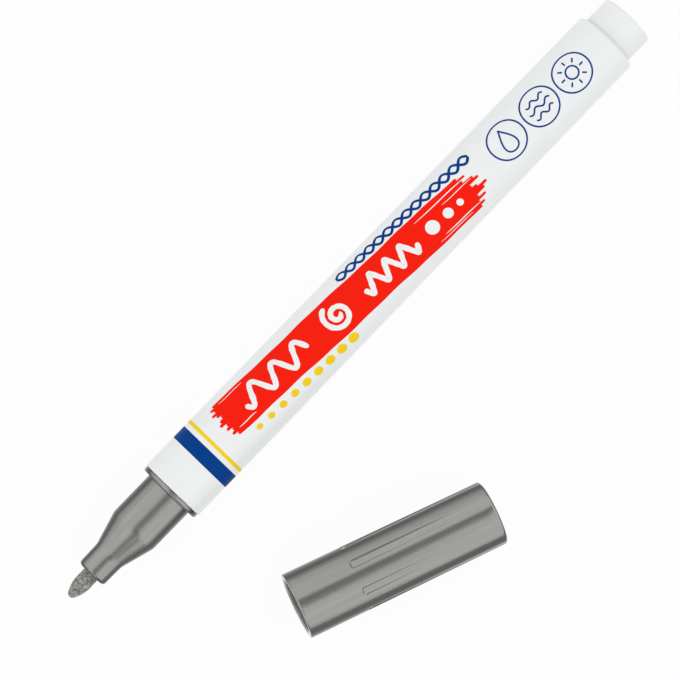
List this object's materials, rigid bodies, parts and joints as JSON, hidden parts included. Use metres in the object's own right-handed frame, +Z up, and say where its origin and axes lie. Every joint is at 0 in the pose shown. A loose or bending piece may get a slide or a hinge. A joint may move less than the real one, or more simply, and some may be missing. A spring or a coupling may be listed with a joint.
{
  "type": "liquid chalk marker",
  "caption": "Bullet-tip liquid chalk marker with a white stepped barrel, grey nib holder, press-to-flow valve and mixing ball, lying with its grooved grey cap off beside it.",
  "frame": {"origin": "on the marker's axis, in the plane where the flange of the front section seats on the barrel's mouth", "axes": "+X along the marker's axis towards the nib, +Y level towards the cap lying beside it, +Z up from the surface that both lie on"},
  "size_m": [0.1254, 0.0504, 0.0112],
  "materials": {
    "barrel_white": "smooth white moulded plastic with a printed label",
    "grey_plastic": "satin pearly grey moulded plastic",
    "nib_fibre": "pressed acrylic fibre soaked with grey ink",
    "absorber_fibre": "bonded fibre",
    "seat_rubber": "soft black rubber",
    "valve_plastic": "natural moulded plastic",
    "spring_steel": "drawn stainless wire",
    "ball_steel": "polished steel",
    "liner_plastic": "soft moulded liner"
  },
  "bodies": {
    "marker": {"barrel": "barrel_white", "front_section": "grey_plastic", "ink_absorber": "absorber_fibre", "valve_seat": "seat_rubber", "valve_cage": "valve_plastic", "valve_spring": "spring_steel"},
    "nib_unit": {"nib": "nib_fibre", "valve_stem": "valve_plastic"},
    "ball": {"mixing_ball": "ball_steel"},
    "cap": {"cap_shell": "grey_plastic", "cap_inner_seal": "liner_plastic"}
  },
  "joints": [
    {"name": "nib_press", "type": "slide", "parent": "marker", "child": "nib_unit", "axis": [-1, 0, 0], "range_m": [0, 0.0015], "stiffness_N_per_m": 400, "springref_m": -0.0015, "deforming": ["valve_spring"]},
    {"name": "ball_roll", "type": "slide", "parent": "marker", "child": "ball", "axis": [1, 0, 0], "range_m": [-0.03775, 0.03775]},
    {"name": "cap_pull", "type": "slide", "parent": "marker", "child": "cap", "axis": [-0.9326, 0.3608, 0], "range_m": [0, 0.0222]}
  ]
}
